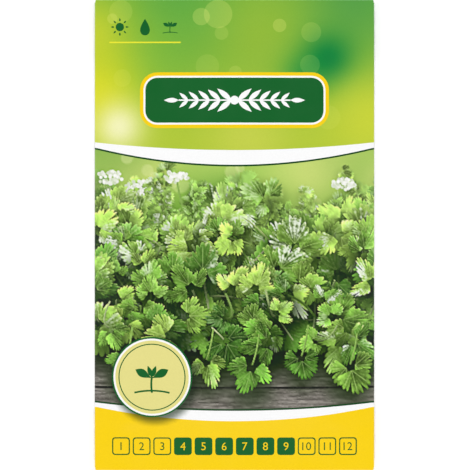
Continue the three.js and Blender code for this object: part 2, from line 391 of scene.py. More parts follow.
def strip(low, high, count=64):
    """The area between two curves, half way round both side folds"""
    x = np.linspace(-WRAP, WRAP, count)
    inner = np.clip(x, -FRONT_HALF, FRONT_HALF)
    return joined(table(x, curve_height(low, inner)), table(x, curve_height(high, inner))[::-1])


def number_loops(text, size, x, y):
    """The outlines of a number, with its middle at x, y. Each runs on to the edge that closes it."""
    curve = bpy.data.curves.new("number", "FONT")
    curve.body = text
    curve.size = size
    curve.fill_mode = "NONE"
    curve.resolution_u = 3
    number = bpy.data.objects.new("number", curve)
    mesh = bpy.data.meshes.new_from_object(number)
    points = np.array([corner.co[:2] for corner in mesh.vertices])
    points += (x, y) - (points.min(0) + points.max(0)) / 2
    ends = [sorted(edge.vertices) for edge in mesh.edges]
    bpy.data.batch_remove([number, curve, mesh])
    return [points[first : last + 1] for first, last in ends if last > first + 1]


def sprig(y, length, leaf):
    """A level sprig: a seed in the middle, pairs of leaves on both sides and one leaf at each end"""
    shapes = [rule(0, y, length / 2, 0.08 * leaf), circle(0, y, 0.24 * leaf, 28)]
    for way in (pi, 0):
        out = length / 2 * cos(way)
        for i in range(SPRIG_PAIRS):
            base = out * (i + 0.3) / (SPRIG_PAIRS + 0.2)
            size = leaf * (1 - 0.09 * i)
            for lean in (-SPRIG_LEAN, SPRIG_LEAN):
                shapes.append(blade(base, y, way + lean, size, 0.30 * size))
        shapes.append(blade(out, y, way, 0.8 * leaf, 0.26 * leaf))
    return shapes


def seedling(x, y, size):
    """A stalk with two seed leaves and two small true leaves, on a line of ground"""
    ground = y - 0.72 * size
    shapes = [stroke((x - 0.9 * size, ground), (x + 0.9 * size, ground), 0.09 * size, 0.06)]
    shapes.append(stroke((x, ground), (x, y + 0.1 * size), 0.10 * size, 0.04))
    for way in (-1, 1):
        for lean, up, length, width, fat_at in ((62, 0.02, 0.95, 0.42, 0.6), (20, 0.08, 0.62, 0.24, 0.45)):
            heading = pi / 2 - way * radians(lean)
            shapes.append(blade(x, y + up * size, heading, length * size, width * size, fat_at))
    return shapes


def sun(x, y, radius):
    shapes = [circle(x, y, 0.5 * radius, 28)]
    for turn in np.arange(8) * pi / 4:
        base = (x + 0.66 * radius * cos(turn), y + 0.66 * radius * sin(turn))
        shapes.append(blade(*base, turn, 0.42 * radius, 0.2 * radius, 0.4, 5))
    return shapes


def icons(x, y, pitch, radius):
    """A sun, a drop and a seedling in a row"""
    return [*sun(x - pitch, y, radius), drop(x, y, radius), *seedling(x + pitch, y, radius)]


def calendar(y, pitch, pale):
    """Twelve boxes with the months' numbers. The sowing months are filled."""
    inks = []
    box = MONTH_BOX * pitch
    hole = box - 2 * MONTH_LINE * pitch
    for month in range(1, MONTHS + 1):
        x = (month - (MONTHS + 1) / 2) * pitch
        filled = month in SOWING_MONTHS
        inks += inked(DARK_GREEN, rounded_box(x, y, box, box, 0.16 * box, 4))
        if not filled:
            inks += inked(pale, rounded_box(x, y, hole, hole, 0.12 * box, 4))
        number = number_loops(str(month), NUMBER_SIZE * pitch, x, y)
        inks.append(Ink(number, pale if filled else DARK_GREEN))
    return inks


def bokeh():
    """Pale discs of light in the header"""
    rng = np.random.default_rng(BOKEH_SEED)
    inks = []
    for _ in range(15):
        x, y = rng.uniform(-36, 36), rng.uniform(33, 64)
        radius = rng.uniform(1.2, 4.4)
        if abs(x) + radius < FRONT_HALF - 1:
            inks.append(Ink([circle(x, y, radius, 40)], BOKEH_LIGHT, rng.uniform(0.10, 0.26)))
    return inks


def plaque():
    """A framed field with a sprig"""
    inks = []
    for inset, colour in PLAQUE_RINGS:
        width, height = (side - 2 * inset for side in PLAQUE_SIZE)
        inks += inked(colour, rounded_box(0, PLAQUE_Y, width, height, PLAQUE_CORNER - inset))
    return inks + inked(WHITE, *sprig(*PLAQUE_SPRIG))


def shadow_cover(x, y):
    far = np.hypot(x - SHADOW_PLACE[0], y - SHADOW_PLACE[1])
    return SHADOW_DEPTH * smoothstep(-far, -SEAL_RADIUS - SHADOW_BLUR, -SEAL_RADIUS + 0.4 * SHADOW_BLUR)


def seal():
    """A round seal with a seedling, and its soft shadow"""
    x, y = SEAL_PLACE
    inks = [Ink([circle(*SHADOW_PLACE, SEAL_RADIUS + SHADOW_BLUR)], SHADOW, shadow_cover)]
    for inset, colour in SEAL_RINGS:
        inks += inked(colour, circle(x, y, SEAL_RADIUS - inset, 72))
    return inks + inked(DARK_GREEN, *seedling(x, y - 0.4, SEAL_SEEDLING))


def front_inks():
    """The front's print, from the first ink to the last"""
    inks = inked(header_colour, strip(HEADER_BOTTOM, SHEET_TOP))
    inks += inked(PICTURE.at, strip(PICTURE_BOTTOM, PICTURE_TOP))
    inks += inked(LINE_GREEN, strip(PICTURE_TOP, UPPER_LINE), strip(LOWER_LINE, PICTURE_BOTTOM))
    inks += inked(GOLD, strip(-SHEET_TOP, BASE_TOP))
    inks += inked(LINE_YELLOW, rule(*FRONT_RULE))
    for i, colour in enumerate(PROOF_COLOURS):
        inks += inked(colour, circle(PROOF_X + i * PROOF_PITCH, PROOF_Y, PROOF_RADIUS, 20))
    inks += bokeh() + plaque() + seal() + inked(DARK_GREEN, *icons(*FRONT_ICONS))
    return inks + calendar(*FRONT_CALENDAR, GOLD)


def back_inks():
    """What is printed on the back's cream ground"""
    inks = inked(BACK_TINT, rounded_box(*BACK_PANEL))
    inks += inked(RULE_GREEN, *(rule(*place) for place in BACK_RULES))
    inks += inked(DARK_GREEN, *sprig(*BACK_SPRIG), *icons(*BACK_ICONS))
    return inks + calendar(*BACK_CALENDAR, BACK_TINT)


def wing_inks():
    """Both wings take the whole print of the back, so that it runs on across the seam"""
    across = np.array([WRAP, SHEET_HALF_U + BLEED, SHEET_HALF_U + BLEED, WRAP])
    fields = [
        (-SHEET_HALF_V, SHEET_HALF_V, CREAM),
        (BACK_BAND, SHEET_HALF_V, header_colour),
        (-SHEET_HALF_V, -BACK_BAND, GOLD),
        (BACK_BAND - FRAME_LINE, BACK_BAND, LINE_GREEN),
        (-BACK_BAND, FRAME_LINE - BACK_BAND, LINE_GREEN),
    ]
    inks = []
    for side in (-1, 1):
        for low, high, colour in fields:
            inks += inked(colour, table(side * across, [low, low, high, high]))
        for one in back_inks():
            inks.append(Ink([loop + (side * WING_FOLD, 0) for loop in one.loops], one.colour))
    return inks


# The picture: leafy stems in front of a garden, over weathered boards. It is painted from back to front.

LOOK_PARTS = "colour vein teeth soft crisp fold phase sheen along across spread shade solid bend skew seed"
Look = namedtuple("Look", LOOK_PARTS, defaults=(0, 0, 0))

DOTS = 8  # of the canvas in a millimetre
CANVAS_LEFT, CANVAS_RIGHT = -41, 41
CANVAS_LOW, CANVAS_HIGH = -54, 28
NOISE_SEED = 3
NOISE = np.random.default_rng(NOISE_SEED).random((257, 257)).astype(np.float32)
PICTURE_SEED = 12
SHARPNESS = 1.1

LEAFLET_SPREAD = 1.45  # half the fan of a leaflet, in radians
DEEP_SHADE = rgb(26, 44, 15)
LEAF_TONES = (rgb(52, 90, 38), rgb(112, 168, 64), rgb(176, 216, 98))
FAR_LEAF = rgb(176, 212, 120)
PALE_VEIN = rgb(214, 234, 160)
SHEEN_WHITE = rgb(230, 239, 220)
LIT_RIM = rgb(214, 234, 150)
STALK_TONES = (rgb(112, 152, 64), rgb(206, 222, 160))
ARC_TONES = (rgb(150, 186, 92), rgb(224, 222, 178))
STALK_GREEN = rgb(152, 192, 96)
GARDEN_TONES = (rgb(48, 72, 26), rgb(116, 168, 58), rgb(172, 208, 98))
GARDEN_SPOTS = [rgb(206, 226, 124), rgb(84, 146, 48), rgb(230, 234, 140)]
LIGHT_SPOT = rgb(240, 244, 184)
PETALS = [rgb(250, 250, 244), rgb(236, 240, 226), rgb(214, 224, 196)]
BOARD_TONES = (rgb(78, 74, 68), rgb(166, 160, 152))
BOARD_EDGE = rgb(34, 40, 20)
BOARD_TOP = -34.4
BOARD_JOINT = -43.4
LOW_LEAVES = -22  # below this most leaves hang

UMBELS = [(-27, 13.5, 4.4), (-16.5, 16.5, 3.6), (-35.5, 16.5, 3.8), (31, 14.5, 3.4)]
HANGING_LEAVES = [
    # place, heading in degrees and size of each leaf that hangs over the boards
    (-31, -35, -100, 8.6),
    (-8, -35.5, -75, 8.0),
    (5, -37, -105, 9.2),
    (19, -34.5, -80, 7.2),
    (33, -37, -70, 8.8),
]


def in_cell(grid, i, j, a, b):
    """A grid's values between four of its points, at shares of the way across and along"""
    low = mix(grid[i, j], grid[i + 1, j], a)
    high = mix(grid[i, j + 1], grid[i + 1, j + 1], a)
    return mix(low, high, b)


def noise(x, y, blot, shift=0):
    """Soft noise from 0 to 1, in blots of a size"""
    u, v = x / blot + 1128 + 37.7 * shift, y / blot + 1128 + 91.3 * shift
    i, j = np.floor(u).astype(int), np.floor(v).astype(int)
    return in_cell(NOISE, i % 256, j % 256, smoothstep(u - i, 0, 1), smoothstep(v - j, 0, 1))


class Canvas:
    """Coloured dots over the picture's area"""

    def __init__(self):
        self.x = np.arange(CANVAS_LEFT, CANVAS_RIGHT, 1 / DOTS, dtype=np.float32)
        self.y = np.arange(CANVAS_LOW, CANVAS_HIGH, 1 / DOTS, dtype=np.float32)
        self.dots = np.zeros((len(self.y), len(self.x), 3), np.float32)

    def window(self, x, y, reach):
        """The dots round a place, and where they are"""
        columns = slice(*(max(0, int((at - CANVAS_LEFT) * DOTS)) for at in (x - reach, x + reach)))
        rows = slice(*(max(0, int((at - CANVAS_LOW) * DOTS)) for at in (y - reach, y + reach)))
        return (rows, columns), *np.meshgrid(self.x[columns], self.y[rows])

    def lay(self, area, colour, cover):
        part = self.dots[area]
        part[:] = tinted(part, colour, cover)

    def disc(self, x0, y0, inner, outer, colour, strength):
        """A disc that fades out between two radii"""
        area, x, y = self.window(x0, y0, outer)
        cover = smoothstep(-np.hypot(x - x0, y - y0), -outer, -inner)
        self.lay(area, colour, strength * cover)

    def at(self, x, y):
        """The colours at places, between the dots"""
        u = np.clip((x - CANVAS_LEFT) * DOTS, 0, len(self.x) - 1.001)
        v = np.clip((y - CANVAS_LOW) * DOTS, 0, len(self.y) - 1.001)
        i, j = u.astype(int), v.astype(int)
        return in_cell(self.dots, j, i, (v - j)[..., None], (u - i)[..., None])

    def sharpen(self):
        """More contrast of each dot against its surroundings, as a printer sharpens a picture"""
        dots = np.clip(self.dots, 0, 1)
        blurred = dots
        for reach in (1, 2, 2):
            for axis in (0, 1):
                around = np.roll(blurred, reach, axis) + np.roll(blurred, -reach, axis)
                blurred = 0.5 * blurred + 0.25 * around
        self.dots = np.clip(dots + SHARPNESS * (dots - blurred), 0, 1)


def paint_garden(canvas, rng):
    """A blurred garden with discs of light"""
    area, _, y = canvas.window(0, 0, 60)
    low, middle, high = GARDEN_TONES
    canvas.dots[area] = tinted(tinted(low, middle, smoothstep(y, -40, 0)), high, smoothstep(y, -6, 24))
    for _ in range(70):
        x, y = rng.uniform(-42, 42), rng.uniform(-30, 30)
        reach = rng.uniform(3, 11)
        canvas.disc(x, y, 0, 1.9 * reach, GARDEN_SPOTS[rng.integers(3)], rng.uniform(0.15, 0.5))
    for _ in range(26):
        x, y = rng.uniform(-40, 40), rng.uniform(2, 27)
        reach = rng.uniform(0.8, 2.6)
        canvas.disc(x, y, 0.8 * reach, 1.15 * reach, LIGHT_SPOT, rng.uniform(0.12, 0.35))


def leaflet_outline(angle, size, look):
    """How far a leaflet reaches from its base: a fan of three lobes with small teeth"""
    t = angle / LEAFLET_SPREAD
    warped = t + look.skew * t * (1 - np.abs(t))
    teeth = np.abs(np.cos(pi * look.teeth * warped / 2)) ** 0.8
    cut_at = (2 * round(0.34 * look.teeth / 2 - 0.5) + 1) / look.teeth
    lobes = 1
    for side in (-1, 1):
        depth = 0.42 + 0.16 * cos(2 * look.phase + side)
        lobes = lobes * (1 - depth * np.exp(-(((warped - side * cut_at) / 0.055) ** 2)))
    fan = (0.5 + 0.5 * np.cos(0.95 * angle)) ** 0.55
    wave = 1 + 0.09 * np.cos(3 * t + look.phase)
    return size * fan * (1 - 0.15 * (1 - teeth)) * lobes * wave


def vein_cover(r, angle, t, share, size, look):
    """Three main veins from the base, and a fine vein into each tooth"""
    width = 0.07 + 0.010 * size
    main = np.zeros_like(r)
    for at in (-0.55, 0.0, 0.55):
        off = angle - LEAFLET_SPREAD * at
        main += np.exp(-((r * np.sin(off) / width) ** 2)) * (np.cos(off) > 0)
    fine = (0.5 + 0.5 * np.cos(pi * look.teeth * t)) ** 6 * smoothstep(share, 0.3, 0.6)
    return np.clip(main + 0.45 * fine, 0, 1) * smoothstep(-share, -0.97, -0.7)


def leaflet_colour(x, y, r, angle, share, heading, size, look):
    """Light and shade over the folds of a leaflet, its veins, its silvery sheen and its rim"""
    t = angle / LEAFLET_SPREAD
    crease = np.cos(pi * look.teeth * t) * smoothstep(share, 0.1, 0.8)
    blots = noise(x, y, 1.5, look.seed) - 0.5
    grain = noise(x, y, 0.4, look.seed + 2) - 0.5
    light = 0.70 + 0.32 * share + 0.04 * crease * look.crisp + look.fold * np.sin(1.6 * t + look.phase)
    light = light + 0.30 * blots + 0.16 * grain * look.crisp
    colour = look.colour * light[..., None]
    veins = vein_cover(r, angle, t, share, size, look)
    colour = tinted(colour, look.vein, 0.5 * look.crisp * veins)
    patch = 0.28 * crease + np.sin(2.2 * t + 3 * look.phase) + 1.3 * blots + 0.8 * grain
    sheen = smoothstep(patch, 0.1, 1.7) * look.sheen * smoothstep(share, 0.1, 0.5)
    colour = tinted(colour, SHEEN_WHITE, np.clip(1.3 * sheen, 0, 0.88))
    rim = smoothstep(share, 0.88, 1.0) * look.crisp
    lit = np.sin(angle + heading)
    colour = tinted(colour, 0, 0.22 * rim * (lit < 0))
    return tinted(colour, LIT_RIM, 0.38 * rim * (lit > 0.2))


def paint_leaflet(canvas, x0, y0, heading, size, look):
    """One fan-shaped leaflet, from its base"""
    c, s = cos(heading), sin(heading)
    area, x, y = canvas.window(x0 + 0.48 * size * c, y0 + 0.48 * size * s, 0.98 * size)
    along = ((x - x0) * c + (y - y0) * s) / look.along
    across = ((y - y0) * c - (x - x0) * s) / look.across + look.bend * along**2 / size
    r = np.hypot(along, across) + 1e-6
    angle = np.arctan2(across, along)
    reach = leaflet_outline(angle, size, look)
    cover = np.clip((reach - r) / look.soft + 0.5, 0, 1)
    cover = cover * np.clip((LEAFLET_SPREAD - np.abs(angle)) * r / look.soft + 0.5, 0, 1)
    share = np.clip(r / np.maximum(reach, 0.05), 0, 1.2)
    colour = leaflet_colour(x, y, r, angle, share, heading, size, look)
    canvas.lay(area, colour, cover * look.solid)


def paint_leaf(canvas, x, y, heading, size, look, rng):
    """A leaf of three leaflets, and its shade on what is behind it"""
    c, s = cos(heading), sin(heading)
    shade_x, shade_y = x + 0.15 * size * c, y + 0.35 * size * (s - 1)
    canvas.disc(shade_x, shade_y, 0.15 * size, 1.125 * size, DEEP_SHADE, look.shade)
    for turn, part, off in ((look.spread, 0.78, 0.16), (-look.spread, 0.78, 0.16), (0, 1.0, 0.19)):
        own = look._replace(
            phase=look.phase + rng.normal(0, 0.6),
            bend=rng.normal(0, 0.10),
            skew=rng.normal(0, 0.12),
            along=look.along * rng.uniform(0.85, 1.0),
            across=look.across * rng.uniform(0.8, 1.0),
            colour=look.colour * rng.uniform(0.86, 1.12),
            sheen=look.sheen * rng.uniform(0.2, 1.3),
            seed=int(rng.integers(1000)),
        )
        way = heading + turn + rng.normal(0, 0.08)
        base_x, base_y = x + off * size * cos(way), y + off * size * sin(way)
        paint_leaflet(canvas, base_x, base_y, way, 0.86 * part * size, own)


def paint_stalk(canvas, points, width, colour, soft, fade=0.02):
    """A round stalk along the curve of three points. Both ends fade out over a share of it."""
    a, b, c = np.array(points, float)
    t = np.linspace(0, 1, 22)[:, None]
    line = (1 - t) ** 2 * a + 2 * t * (1 - t) * b + t**2 * c
    area, x, y = canvas.window(*(line.min(0) + line.max(0)) / 2, np.ptp(line, 0).max() / 2 + 3 * width)
    near, above, share = np.full(x.shape, 1e9), np.zeros(x.shape), np.zeros(x.shape)
    for i, (start, end) in enumerate(zip(line[:-1], line[1:])):
        way = end - start
        k = np.clip(((x - start[0]) * way[0] + (y - start[1]) * way[1]) / (way @ way), 0, 1)
        off_x, off_y = x - start[0] - k * way[0], y - start[1] - k * way[1]
        far = np.hypot(off_x, off_y)
        above = np.where(far < near, (off_y - 0.4 * off_x) / width, above)
        share = np.where(far < near, (i + k) / (len(line) - 1), share)
        near = np.minimum(near, far)
    cover = np.clip((width / 2 - near) / soft + 0.5, 0, 1)
    cover = cover * smoothstep(share, 0, fade) * smoothstep(1 - share, 0, fade)
    light = np.clip(0.9 + 0.5 * above, 0.6, 1.25)
    canvas.lay(area, np.clip(colour * light[..., None], 0, 1), cover)


def leaf_look(near, y, rng):
    """The look of a leaf, from 0 for the farthest to 1 for the nearest"""
    up = float(smoothstep(y, -34, 6))
    tone = np.clip(0.14 + 0.36 * near + 0.54 * up + rng.normal(0, 0.24), 0, 1)
    deep, fresh, bright = LEAF_TONES
    colour = mix(mix(deep, fresh, min(1, 2 * tone)), bright, max(0, 2 * tone - 1))
    colour = mix(colour, FAR_LEAF, (1 - near) * 0.6 * up)
    return Look(
        colour=colour,
        vein=mix(colour, PALE_VEIN, 0.6),
        teeth=int(rng.choice([9, 11, 11, 13])),
        soft=mix(0.8, 0.10, min(1, near * 1.3)),
        crisp=min(1, 0.2 + near),
        fold=rng.uniform(0.08, 0.30),
        phase=rng.uniform(0, 2 * pi),
        sheen=max(0, rng.normal(0.10 + 0.62 * up, 0.36)) * min(1, 0.3 + near),
        along=1.0,
        across=rng.uniform(0.42, 1.0),
        spread=rng.uniform(0.95, 1.35),
        shade=0.26 + 0.46 * near * (1 - 0.4 * up),
        solid=mix(0.75, 1, min(1, 2 * near)),
    )


def paint_leaves(canvas, rng, count, near, low, high, size):
    """One layer of leaves, from the top down"""
    spots = []
    for _ in range(count):
        x = rng.uniform(-43, 43)
        top = high + 5 * sin(0.16 * x + 1.3) + rng.normal(0, 1.8)
        spots.append((x, low + (top - low) * rng.random() ** 0.85))
    spots.sort(key=lambda spot: -spot[1])
    for x, y in spots:
        own = float(np.clip(near + rng.normal(0, 0.06), 0, 1))
        look = leaf_look(own, y, rng)
        low_leaf = y < LOW_LEAVES
        hanging = rng.random() < (0.8 if low_leaf else 0.35)
        heading = rng.normal(0, 0.9) + pi / 2 * (-1 if hanging else 1)
        root_y = y + rng.uniform(2, 9) if low_leaf else y - rng.uniform(6, 14)
        root = (x + rng.normal(0, 5), root_y)
        knee = (x - 2.2 * cos(heading) + rng.normal(0, 1), y - 2.2 * sin(heading) - 1)
        green = mix(*STALK_TONES, rng.random())
        if rng.random() < (0.4 if low_leaf else 0.75):
            width = rng.uniform(0.35, 0.6) * (0.6 + 0.5 * own)
            paint_stalk(canvas, [root, knee, (x, y)], width, green, look.soft)
        paint_leaf(canvas, x, y, heading, size * rng.uniform(0.65, 1.3), look, rng)


def paint_arcs(canvas, rng, count, low, high, soft):
    """Long pale stalks that cross the leaves in shallow arcs"""
    for _ in range(count):
        x, y = rng.uniform(-40, 40), rng.uniform(low, high)
        reach, lift = rng.uniform(7, 16) * rng.choice([-1, 1]), rng.uniform(-1, 11)
        middle = (x + 0.5 * reach, y + 0.7 * abs(lift) + rng.uniform(0, 2))
        colour = mix(*ARC_TONES, rng.random())
        ends = [(x, y), middle, (x + reach, y + lift)]
        paint_stalk(canvas, ends, rng.uniform(0.24, 0.42), colour, soft, 0.3)


def paint_sprigs(canvas, rng, count, soft):
    """Thin shoots with small leaves that stand above the others"""
    for _ in range(count):
        x, y = rng.uniform(-40, 40), rng.uniform(-8, 0)
        tip_x, tip_y = x + rng.normal(0, 5), y + rng.uniform(9, 19)
        look = leaf_look(0.5, tip_y, rng)._replace(soft=soft, shade=0.1, solid=0.9)
        paint_stalk(canvas, [(x, y), (x, (y + tip_y) / 2), (tip_x, tip_y)], 0.32, look.vein, soft)
        for share in np.linspace(0.45, 1, 6):
            at_x = mix(x, tip_x, share**2) + rng.normal(0, 0.8)
            heading = pi / 2 + rng.normal(0, 1.2)
            paint_leaf(canvas, at_x, mix(y, tip_y, share), heading, rng.uniform(2.6, 4.6), look, rng)


def paint_umbels(canvas, rng):
    """Small white flowers on domes, each on its stalk"""
    for x0, y0, size in UMBELS:
        stalk = [(x0 + 4, y0 - 16), (x0 + 1, y0 - 7), (x0, y0 - 0.5)]
        paint_stalk(canvas, stalk, 0.5, STALK_GREEN, 0.3)
        for _ in range(46):
            turn, out = rng.uniform(0, 2 * pi), size * sqrt(rng.random())
            x = x0 + out * cos(turn)
            y = y0 + 0.5 * out * sin(turn) + 0.12 * (size - out)
            reach = rng.uniform(0.35, 0.6)
            canvas.disc(x, y, reach - 0.1, reach + 0.2, PETALS[rng.integers(3)], 0.9)


def paint_boards(canvas):
    """The boards of the bed, in the shade of the leaves at their top"""
    area, x, y = canvas.window(0, BOARD_JOINT, 60)
    grain = 0.55 * noise(x, 7 * y, 3.2, 1) + 0.30 * noise(x, 16 * y, 2.2, 2)
    grain = grain + 0.25 * noise(2 * x, 30 * y, 1.2, 3)
    tone = tinted(*BOARD_TONES, np.clip(grain * 1.15 - 0.08, 0, 1))
    tone = tinted(0, tone, 0.46 + 0.54 * smoothstep(-y, 31, 42))
    joint = np.abs(y - BOARD_JOINT + 0.12 * noise(x, 0 * x, 6, 4))
    tone = tinted(0, tone, 0.30 + 0.70 * smoothstep(joint, 0.10, 0.55))
    tone = tinted(tone, BOARD_EDGE, smoothstep(y, BOARD_TOP - 0.2, BOARD_TOP + 0.2))
    canvas.lay(area, tone, smoothstep(-y, 31.5, 33.0))


def paint_picture():
    rng = np.random.default_rng(PICTURE_SEED)
    canvas = Canvas()
    paint_garden(canvas, rng)
    paint_leaves(canvas, rng, count=120, near=0.05, low=-32, high=8, size=8.5)
    paint_sprigs(canvas, rng, count=12, soft=0.5)
    paint_umbels(canvas, rng)
    paint_leaves(canvas, rng, count=110, near=0.35, low=-32, high=6, size=8.0)
    paint_boards(canvas)
    paint_arcs(canvas, rng, count=12, low=-24, high=-4, soft=0.3)
    paint_sprigs(canvas, rng, count=14, soft=0.2)
    paint_leaves(canvas, rng, count=120, near=0.62, low=-31, high=5, size=7.6)
    paint_arcs(canvas, rng, count=22, low=-28, high=-2, soft=0.15)
    paint_leaves(canvas, rng, count=80, near=0.95, low=-31, high=3, size=8.2)
    for x, y, heading, size in HANGING_LEAVES:
        paint_stalk(canvas, [(x + 2, y + 9), (x + 1.5, y + 4), (x, y)], 0.45, STALK_GREEN, 0.12)
        paint_leaf(canvas, x, y, radians(heading), size, leaf_look(0.95, y, rng), rng)
    canvas.sharpen()
    return canvas


PICTURE = paint_picture()

# Facets of the flat sheet


def spaced(low, high, pitch):
    return np.linspace(low, high, max(2, round((high - low) / pitch) + 1))


def field(low_u, high_u, low_v, high_v, pitch):
    """A grid of points over a rectangle, clear of its sides"""
    margin = 0.4 * pitch
    u = spaced(low_u + margin, high_u - margin, pitch)
    v = spaced(low_v + margin, high_v - margin, pitch)
    return table(*np.meshgrid(u, v)).reshape(-1, 2)


def front_field(pitch):
    return field(-FRONT_HALF, FRONT_HALF, -PANEL_HALF, PANEL_HALF, pitch)


def wing_and_flap_fields(pitch):
    wing = field(WING_FROM, SHEET_HALF_U, -WING_HALF, WING_HALF, pitch)
    flap = field(-FRONT_HALF, FRONT_HALF, FLAP_FROM, SHEET_HALF_V, pitch)
    return joined(wing, -wing, flap, -flap)


def outside_picture(x, y, margin):
    top, bottom = curve_height(PICTURE_TOP, x), curve_height(PICTURE_BOTTOM, x)
    return (y > top + margin) | (y < bottom - margin)


def picture_field():
    """Points over the picture: an even grid, and twice as close where the picture has most detail"""
    step = PICTURE_PITCH
    u = spaced(-FRONT_HALF + step, FRONT_HALF - step, step)
    v = spaced(PICTURE_BOTTOM[0], PICTURE_TOP[1], step)
    x, y = np.meshgrid(u, v)
    light = PICTURE.at(x, y).sum(-1)
    detail = np.zeros_like(light)
    for dx, dy in ((step, 0), (-step, 0), (0, step), (0, -step)):
        detail += np.abs(PICTURE.at(x + dx, y + dy).sum(-1) - light)
    detail[::2, ::2] = 1e9
    detail[outside_picture(x, y, -0.6 * step)] = -1
    chosen = np.argsort(-detail, axis=None, kind="stable")[:PICTURE_POINTS]
    chosen = chosen[detail.ravel()[chosen] >= 0]
    return table(x.ravel()[chosen], y.ravel()[chosen])


def side_marks():
    """Places along a side of the front, close together beside the picture"""
    bands = [BASE_TOP[1], LOWER_LINE[1], PICTURE_BOTTOM[1], PICTURE_TOP[1], UPPER_LINE[1], HEADER_BOTTOM[1]]
    low = spaced(-WING_HALF, bands[0], PRINT_PITCH)
    middle = spaced(bands[2], bands[3], EDGE_PITCH)
    high = spaced(bands[-1], WING_HALF, PRINT_PITCH)
    return np.unique(joined(low, middle, high, bands))


def fold_lines(along_sides, pitch):
    """Rows of points along every fold, as open lines"""
    along_ends = spaced(-FRONT_HALF, FRONT_HALF, pitch)
    lines = []
    for turn in np.arange(FOLD_STEPS + 1) / FOLD_STEPS:
        for side in (-1, 1):
            u = np.full(len(along_sides), side * (FRONT_HALF + turn * SIDE_FOLD))
            v = np.full(len(along_ends), side * (PANEL_HALF + turn * END_FOLD))
            lines += [table(u, along_sides), table(along_ends, v)]
    return lines


def sheet_outline():
    """The outline of the flat sheet, a cross, from one quarter of it and its mirror images"""
    turns = np.arange(FOLD_STEPS) / FOLD_STEPS
    arm_u = joined(FRONT_HALF + turns * SIDE_FOLD, spaced(WING_FROM, SHEET_HALF_U, PLAIN_PITCH))
    arm_v = joined(PANEL_HALF + turns * END_FOLD, spaced(FLAP_FROM, SHEET_HALF_V, PLAIN_PITCH))
    quarter = [(SHEET_HALF_U, v) for v in spaced(0, WING_HALF, PLAIN_PITCH)[:-1]]
    quarter += [(u, WING_HALF) for u in arm_u[::-1]]
    quarter += [(FRONT_HALF, v) for v in arm_v]
    quarter += [(u, SHEET_HALF_V) for u in spaced(0, FRONT_HALF, PRINT_PITCH)[::-1][1:]]
    quarter = np.array(quarter)
    half = joined(quarter, (quarter * (-1, 1))[::-1][1:])
    return joined(half, -half[1:])


def in_sheet(points):
    u, v = np.abs(points).T
    return ((u < FRONT_HALF) & (v < SHEET_HALF_V)) | ((u < SHEET_HALF_U) & (v < WING_HALF))


def inside(loops, points):
    """Whether points lie in an odd number of loops, by the loops' edges to the right of each"""
    low = np.min([loop.min(0) for loop in loops], 0)
    high = np.max([loop.max(0) for loop in loops], 0)
    found = np.zeros(len(points), bool)
    near = np.flatnonzero(((points > low) & (points < high)).all(1))
    x, y = points[near].T
    odd = np.zeros(len(near), bool)
    for loop in loops:
        for (x0, y0), (x1, y1) in zip(loop, np.roll(loop, -1, 0)):
            if y0 != y1:
                odd ^= ((y0 > y) != (y1 > y)) & (x < x0 + (y - y0) * (x1 - x0) / (y1 - y0))
    found[near] = odd
    return found


def closed_line(loop, pitch):
    """A loop as a line that ends where it starts, with more points along its long edges"""
    points = [loop[0]]
    for start, end in zip(loop, np.roll(loop, -1, 0)):
        steps = max(1, ceil(np.linalg.norm(end - start) / pitch))
        points += [mix(start, end, (step + 1) / steps) for step in range(steps)]
    return np.array(points)


def triangulated(points, lines):
    """Triangles over the sheet, with every line along their edges"""
    edges = []
    count = len(points)
    for line in lines:
        starts = np.arange(count, count + len(line) - 1)
        edges += table(starts, starts + 1).tolist()
        count += len(line)
    vectors = [Vector(point) for point in joined(points, *lines).tolist()]
    found = delaunay_2d_cdt(vectors, edges, [], 0, SAME_PLACE, False)
    places = np.array([tuple(point) for point in found[0]])
    triangles = np.array(found[2])
    triangles = triangles[in_sheet(places[triangles].mean(1))]
    used, triangles = np.unique(triangles, return_inverse=True)
    return places[used], triangles.reshape(-1, 3)


def rim(places, triangles):
    """The points along the outline, in order from the right wing's top corner"""
    edges = joined(triangles[:, [0, 1]], triangles[:, [1, 2]], triangles[:, [2, 0]])
    _, first, counts = np.unique(np.sort(edges, 1), axis=0, return_index=True, return_counts=True)
    following = dict(edges[first[counts == 1]].tolist())
    order = [max(following, key=lambda point: places[point].sum())]
    while following[order[-1]] != order[0]:
        order.append(following[order[-1]])
    return np.array(order)


def printed_face(inks):
    front = front_field(PRINT_PITCH)
    front = front[outside_picture(*front.T, EDGE_PITCH)]
    points = joined(picture_field(), front, wing_and_flap_fields(PLAIN_PITCH))
    lines = fold_lines(side_marks(), PRINT_PITCH)
    lines += [closed_line(loop, PRINT_PITCH) for one in inks for loop in one.loops]
    return triangulated(points, [*lines, sheet_outline()])


def plain_face(outline):
    points = joined(front_field(INSIDE_PITCH), wing_and_flap_fields(INSIDE_PITCH))
    lines = fold_lines(spaced(-WING_HALF, WING_HALF, INSIDE_PITCH), INSIDE_PITCH)
    return triangulated(points, [*lines, outline])


# The sheet's mesh


def ink_colours(corners, inks):
    """The print's colour at each corner of each triangle, as shares of the light"""
    middles = corners.mean(1)
    colours = np.ones(corners.shape[:2] + (3,))
    for one in inks:
        inked = inside(one.loops, middles)
        u, v = corners[inked][..., 0], corners[inked][..., 1]
        colour = one.colour(u, v) if callable(one.colour) else one.colour
        cover = one.cover(u, v)[..., None] if callable(one.cover) else one.cover
        colours[inked] = mix(colours[inked], colour, cover)
    return PAPER_WHITE * np.clip(to_linear(np.clip(colours, 0, 1)) - GLOSS, 0, 1)


